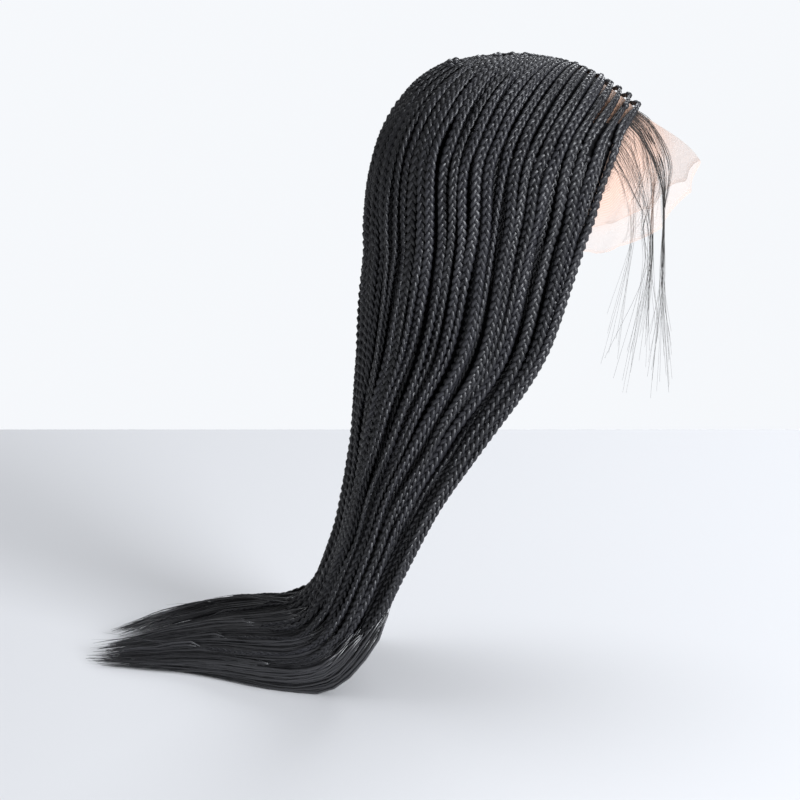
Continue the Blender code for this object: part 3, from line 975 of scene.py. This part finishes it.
def lace_points(across, forward):
    """Over the head at a turn forwards that grows with the row, lifted off it towards the free edge."""
    aside = across * EAR_ANGLE
    turn = -np.radians(eased_table(LACE_EDGE, 1, np.abs(aside)) * forward)
    wave = 1.0 + EDGE_WAVE * np.cos(EDGE_WAVES * np.pi * across)
    flare = eased_table(LACE_EDGE, 2, np.abs(aside)) * wave * ease((forward - LIFT_FROM) / LIFT_OVER)
    ripple = 2.4 * np.sin(13.0 * np.pi * across + 2.0) * ease((forward - 0.8) / 0.2) * ease(flare / 6.0)
    aside = np.radians(aside)
    directions = [np.sin(aside), np.cos(aside) * np.sin(turn), np.cos(aside) * np.cos(turn)]
    return over_head(np.stack(directions, axis=-1), LACE_LIFT + flare + ripple)


brow = lace_points(np.zeros((1, 1)), np.ones((1, 1)))[0, 0]
print("the middle of the free edge in mm:", np.round(brow, 1))

# %% Net
NET_COVER = 0.30
BAND_SCALE = 0.31416  # pi / 10, at which the wave node's bands repeat once a unit


def make_net_group():
    """A net from small cells on the cloth's UV map, in millimetres, and coarser ribs along it."""
    group, given, result = new_group(
        "net",
        {"Holes a mm": 1.1, "Ribs a mm": 0.45},
        {"Threads": "NodeSocketFloat", "Ribs": "NodeSocketFloat"},
    )
    uv = add_node(group, "ShaderNodeUVMap", uv_map="cloth").outputs["UV"]
    cells = add_node(
        group,
        "ShaderNodeTexVoronoi",
        {"Vector": uv, "Scale": given["Holes a mm"]},
        voronoi_dimensions="2D",
        feature="DISTANCE_TO_EDGE",
    )
    spans = {"Value": cells.outputs["Distance"], "From Min": 0.22, "From Max": 0.06}
    threads = add_node(group, "ShaderNodeMapRange", spans).outputs["Result"]
    sized = {0: uv, "Scale": given["Ribs a mm"]}
    scaled = add_node(group, "ShaderNodeVectorMath", sized, operation="SCALE").outputs["Vector"]
    bands = {"Vector": scaled, "Scale": BAND_SCALE, "Distortion": 0.8, "Detail": 1.0}
    ribs = add_node(group, "ShaderNodeTexWave", bands, bands_direction="Y").outputs["Fac"]
    feed(group, result, {"Threads": threads, "Ribs": ribs})
    return group


NET = make_net_group()
print("net group:", len(NET.nodes), "nodes")


def lace_material():
    """Skin-toned threads. Cover, painted on the mesh, is the share that threads hide: it makes the net
    denser and its ribs stronger near the hairline, and sheer towards the free edge. A second attribute is 1
    under the hair, where the lace is painted darker: painted shade from the hair over it, and the knots
    at the roots."""
    material, tree, shader = new_material("lace_net")
    shader.inputs["Roughness"].default_value = 0.62
    shader.inputs["Specular IOR Level"].default_value = 0.25
    net = add_node(tree, "ShaderNodeGroup", node_tree=NET).outputs
    cover = add_node(tree, "ShaderNodeAttribute", attribute_name="cover").outputs["Fac"]
    shade_and_knots = add_node(tree, "ShaderNodeAttribute", attribute_name="shade_and_knots").outputs["Fac"]
    rib = add_node(tree, "ShaderNodeMath", {0: net["Ribs"], 1: cover}, operation="MULTIPLY")
    tones = {"Factor": rib.outputs["Value"], 6: (0.66, 0.47, 0.385, 1.0), 7: (0.48, 0.27, 0.185, 1.0)}
    tint = add_node(tree, "ShaderNodeMix", tones, data_type="RGBA").outputs[2]
    # painted shade: under the hair the lace turns a darker brown, for the shadow of the hair and the knots
    # at the roots
    roots = {"Factor": shade_and_knots, 6: tint, 7: (0.40, 0.24, 0.165, 1.0)}
    shaded = add_node(tree, "ShaderNodeMix", roots, data_type="RGBA").outputs[2]
    hiding = {0: net["Threads"], 1: NET_COVER, 2: cover}
    solid = add_node(tree, "ShaderNodeMath", hiding, operation="MULTIPLY_ADD", use_clamp=True)
    heights = {"Height": net["Ribs"], "Strength": 0.4, "Distance": 0.3 * MM}
    relief = add_node(tree, "ShaderNodeBump", heights).outputs["Normal"]
    feed(tree, shader, {"Base Color": shaded, "Alpha": solid.outputs["Value"], "Normal": relief})
    return material


# %% Lace sheet
def sheet_mesh(name, points, uvs, material):
    """An open grid of quads, with a UV map in millimetres."""
    rows, columns = points.shape[:2]
    row, column = np.meshgrid(np.arange(rows - 1), np.arange(columns - 1), indexing="ij")
    corner = row * columns + column
    quads = np.stack([corner, corner + 1, corner + columns + 1, corner + columns], axis=-1).reshape(-1, 4)
    mesh = bpy.data.meshes.new(name)
    mesh.from_pydata((points.reshape(-1, 3) * MM).tolist(), [], quads.tolist())
    flat = uvs.reshape(-1, 2)[quads.ravel()]
    mesh.uv_layers.new(name="cloth").uv.foreach_set("vector", flat.ravel())
    mesh.polygons.foreach_set("use_smooth", np.ones(len(quads), dtype=bool))
    mesh.materials.append(material)
    piece = add_object(name, mesh)
    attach(piece, "root")
    return piece


def lace_spots(points):
    """The aside share and the forward share, on the lace, of points near the head."""
    direction = unit(points - HEAD_CENTRE)
    aside = np.degrees(np.arcsin(direction[:, 0]))
    turn = np.degrees(np.arctan2(-direction[:, 1], direction[:, 2]))
    return aside / EAR_ANGLE, turn / eased_table(LACE_EDGE, 1, np.abs(aside))


def hairline(side, place):
    """Places along the front edge of the hair as spots on the lace."""
    edge, _ = hair_surface(side, 1.0, place)
    return lace_spots(edge)


COVER_BY_HAIR = 0.66
COVER_AHEAD = 0.08
SHEER_FROM = 0.70
SHEER_OVER = 0.22
EDGE_COVER = 0.25
EDGE_FROM = 0.985


def make_lace():
    """The bent sheet with its cover painted on, and its area in square metres."""
    across, forward = np.meshgrid(np.linspace(-1, 1, LACE_COLUMNS), np.linspace(0.0, 1.0, LACE_ROWS))
    points = lace_points(across, forward)
    width = np.linalg.norm(np.diff(points[LACE_ROWS // 2], axis=0), axis=1).sum()
    length = np.linalg.norm(np.diff(points[:, LACE_COLUMNS // 2], axis=0), axis=1).sum()
    uvs = np.stack([across * width / 2, forward * length], axis=-1)
    piece = sheet_mesh("lace", points, uvs, lace_material())
    sheer = (COVER_BY_HAIR - COVER_AHEAD) * ease((forward - SHEER_FROM) / SHEER_OVER)
    cover = COVER_BY_HAIR - sheer + EDGE_COVER * ease((forward - EDGE_FROM) / (1.0 - EDGE_FROM))
    edge_across, edge_forward = hairline(1.0, np.linspace(0.0, 2.9, 80))
    # 1 under the hair, where the lace gets its painted shade and the darker knots
    shade_and_knots = ease((np.interp(np.abs(across), edge_across, edge_forward) - forward) / 0.02)
    for name, values in (("cover", cover), ("shade_and_knots", shade_and_knots)):
        piece.data.attributes.new(name, "FLOAT", "POINT").data.foreach_set("value", values.ravel())
    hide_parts("lace_front_right", "lace_front_middle", "lace_front_left")
    area = sum(polygon.area for polygon in piece.data.polygons)
    print(f"lace: {area * 1e4:.0f} square cm, {width:.0f} by {length:.0f} mm, {triangles(piece)} triangles")
    return piece, area


lace, lace_area = make_lace()

# %% [markdown]
# ## Cap
# The cap behind the lace is black stretch mesh. It stays the frame's own solid, because its form is
# right, and gets a knitted finish on Object coordinates.

# %% Cap finish
def cap_material():
    """A fine knit from small cells on Object coordinates, as bump and as colour."""
    material, tree, shader = new_material("cap_mesh")
    place = add_node(tree, "ShaderNodeTexCoord").outputs["Object"]
    cells = add_node(tree, "ShaderNodeTexVoronoi", {"Vector": place, "Scale": 620.0})
    knit = cells.outputs["Distance"]
    tones = add_node(tree, "ShaderNodeValToRGB", {"Fac": knit})
    dark, light = tones.color_ramp.elements
    dark.position, dark.color = 0.15, (0.004, 0.004, 0.0045, 1)
    light.position, light.color = 0.6, (0.030, 0.030, 0.033, 1)
    heights = {"Height": knit, "Strength": 0.5, "Distance": 0.4 * MM}
    relief = add_node(tree, "ShaderNodeBump", heights).outputs["Normal"]
    feed(tree, shader, {"Base Color": tones.outputs["Color"], "Normal": relief})
    shader.inputs["Roughness"].default_value = 0.78
    return material


CAP_MESH = cap_material()
for name in ("wig_cap_right", "wig_cap_back", "wig_cap_left"):
    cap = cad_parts[name]
    cap.data.materials.clear()
    cap.data.materials.append(CAP_MESH)
    print(name, "has the finish", CAP_MESH.name)

# %% [markdown]
# ## Baby hair
# Fine short hairs are tied along the hairline. They sweep over the lace, then hang free in front of the
# face. Each is a thin tube on a smooth curve through its root, the lace's edge and its tip, because
# single hairs can be seen against the light here.

# %% One baby hair
LONG_RADII = (0.20, 0.28)
LONG_REACH = 0.86


def baby_hair(points, radius, rows=26):
    """A three-sided tube that thins to a third towards its tip."""
    line = smooth_points(np.array(points), np.linspace(0.0, len(points) - 1.0, rows))
    outwards = np.broadcast_to(np.array([0.31, -0.95, 0.05]), line.shape)
    return tube(line, outwards, radius * (1.0 - 0.67 * np.linspace(0.0, 1.0, rows)), 3)


def on_lace(across, forward, lift):
    """A point on the lace, a lift off it towards the outside."""
    point = lace_points(np.array([[across]]), np.array([[forward]]))[0, 0]
    return point + unit(point - HEAD_CENTRE) * lift


def hairline_spot(side, place):
    """One spot along the hairline."""
    across, forward = hairline(side, np.array([place, place + 0.01]))
    return across[0], forward[0]


def lace_hair(root, meet, reach):
    """Points from a root (across, forward) over the lace, a reach of the way to where its bundle leaves."""
    across = np.interp([0.0, 0.3, 0.7, 1.0], [0.0, 0.3, 1.0], [root[0], root[0] * 0.98, meet])
    forward = root[1] + (1.0 - root[1]) * np.array([0.0, 0.3, 0.7, 1.0]) * reach
    return [on_lace(a, f, lift) for a, f, lift in zip(across, forward, [0.2, 0.8, 1.3, 1.5])]


def long_hair(root, meet, drop, tip):
    """Over the lace, then down to the tip."""
    points = lace_hair(root, meet, LONG_REACH)
    fall = points[-1] + np.array(drop)
    return baby_hair(points + [fall, fall + np.array(tip)], rng.uniform(*LONG_RADII))


print("a hair starts on the lace at", [round(float(share), 3) for share in hairline_spot(1.0, 0.5)])

# %% Baby hair
SHORT_HAIRS = 90
BROW_HAIRS = 36
TEMPLE_HAIRS = 44
SHORT_RADIUS = 0.16
TEMPLE_RADIUS = 0.15


def short_hairs(side, count):
    """A comb of short straight hairs, tied in a row along the hairline, that point to the face."""
    edge, _ = hair_surface(side, 1.0, np.linspace(0.25, 2.3, count))
    hairs = []
    for root in edge:
        steps = np.linspace(-1.0, rng.uniform(7.0, 13.0), 4)[:, None]
        across, forward = lace_spots(root + steps * np.array([0.0, -1.0, -0.18]))
        ends = [on_lace(a, min(f, 1.0), 0.25) for a, f in zip(across, forward)]
        hairs.append(baby_hair(ends, SHORT_RADIUS, 5))
    return hairs


def brow_hairs(side, count):
    """The long group: from near the parting over the brow, in a bundle that hangs in front of the face."""
    hairs = []
    for _ in range(count):
        root = hairline_spot(side, rng.uniform(0.05, 0.75))
        if rng.random() < 0.45:
            meet = side * rng.normal(0.25, 0.03)
            hairs.append(baby_hair(lace_hair(root, meet, rng.uniform(0.4, 0.9)), SHORT_RADIUS))
            continue
        drop = (side * 2.0, rng.normal(0.5, 1.0), -rng.uniform(48, 60))
        sideways = rng.normal(0.0, 4.0)
        back = rng.choice([-6.0, 2.0, 9.0]) + rng.normal(0.0, 2.0)
        tip = (sideways, back, -rng.uniform(35, 85))
        hairs.append(long_hair(root, side * rng.normal(0.275, 0.005), drop, tip))
    return hairs


def temple_hairs(side, count):
    """The group by the temple: evenly spaced roots down the hairline that meet beside the brow."""
    hairs = []
    for root_place in np.linspace(0.30, 1.70, count) + rng.normal(0.0, 0.008, count):
        root = hairline_spot(side, root_place)
        if rng.random() < 0.75:
            meet = side * rng.normal(0.37, 0.03)
            hairs.append(baby_hair(lace_hair(root, meet, rng.uniform(0.35, 0.95)), TEMPLE_RADIUS))
            continue
        drop = (side * 2.0, rng.normal(-2.0, 1.2), -rng.uniform(22, 34))
        tip = (rng.normal(0.0, 4.0), rng.normal(14.0, 6.0), -rng.uniform(65, 105))
        hairs.append(long_hair(root, side * rng.normal(0.352, 0.007), drop, tip))
    return hairs


baby_grids = []
for side in (-1.0, 1.0):
    baby_grids += short_hairs(side, SHORT_HAIRS)
    baby_grids += brow_hairs(side, BROW_HAIRS)
    baby_grids += temple_hairs(side, TEMPLE_HAIRS)
baby = tube_mesh("baby_hairs", baby_grids, BABY_HAIR, rng.random(len(baby_grids)))
print(baby.name, triangles(baby), "triangles")

# %% [markdown]
# ## Floor and light
# A plain pale floor lies just under the tail, and white surroundings light it all softly. A broad key
# light stands low, ahead of the wig on the camera's side, and draws the sheen on the braids. Weaker
# lights stand above and on the far side.

# %% Studio
FLOOR_BACK_EDGE = 0.864
FLOOR_REACH = 6.0
FLOOR_GAP = 1.2 * MM
WIG_MIDDLE = np.array([0.0, 0.06, -0.2])
# name, place, width and power
LIGHTS = (
    ("key", (-2.7, -2.3, 0.9), 1.7, 208.0),
    ("top", (0.6, -0.2, 2.5), 2.0, 34.0),
    ("left", (2.8, -0.9, 1.3), 1.6, 40.0),
)
LIGHT_TINT = (0.93, 0.96, 1.0)
WHITE_SEEN = 0.97
WHITE_LIGHTING = 0.26


def make_floor():
    """A pale floor whose back edge lies where the photograph shows it."""
    size = FLOOR_REACH + FLOOR_BACK_EDGE
    middle = 0.5 * (FLOOR_BACK_EDGE - FLOOR_REACH)
    bpy.ops.mesh.primitive_plane_add(size=size, location=(middle, 0.0, FLOOR_Z * MM - FLOOR_GAP))
    floor = bpy.context.object
    floor.name = "floor"
    material, _, shader = new_material("floor")
    shader.inputs["Base Color"].default_value = (0.72, 0.72, 0.735, 1.0)
    shader.inputs["Roughness"].default_value = 0.7
    floor.data.materials.append(material)
    floor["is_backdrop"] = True


def area_light(name, location, size, power):
    """A disk of light that faces the middle of the wig."""
    data = bpy.data.lights.new(name, "AREA")
    data.shape = "DISK"
    data.size = size
    data.energy = power
    data.color = LIGHT_TINT
    light = add_object(name, data)
    light.location = location
    aim = WIG_MIDDLE - np.array(location)
    tilt = np.arctan2(np.hypot(aim[0], aim[1]), -aim[2])
    light.rotation_euler = (tilt, 0.0, np.arctan2(aim[1], aim[0]) - np.pi / 2)


def make_world(seen, lighting):
    """White to the eye, and a softer white as a source of light, so that black hair stays black."""
    world = bpy.data.worlds.new("studio")
    world.use_nodes = True
    tree = world.node_tree
    rays = add_node(tree, "ShaderNodeLightPath").outputs["Is Camera Ray"]
    spans = {"Value": rays, "To Min": lighting, "To Max": seen}
    strength = add_node(tree, "ShaderNodeMapRange", spans).outputs["Result"]
    feed(tree, tree.nodes["Background"], {"Color": (0.95, 0.97, 1.0, 1.0), "Strength": strength})
    bpy.context.scene.world = world


make_floor()
for light in LIGHTS:
    area_light(*light)
make_world(WHITE_SEEN, WHITE_LIGHTING)
bpy.context.scene.view_settings.view_transform = "Standard"
print("lights:", [light[0] for light in LIGHTS])

# %% Sizes and the end
total = sum(triangles(piece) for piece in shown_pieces() if piece.type == "MESH")
print("triangles shown in all:", total)
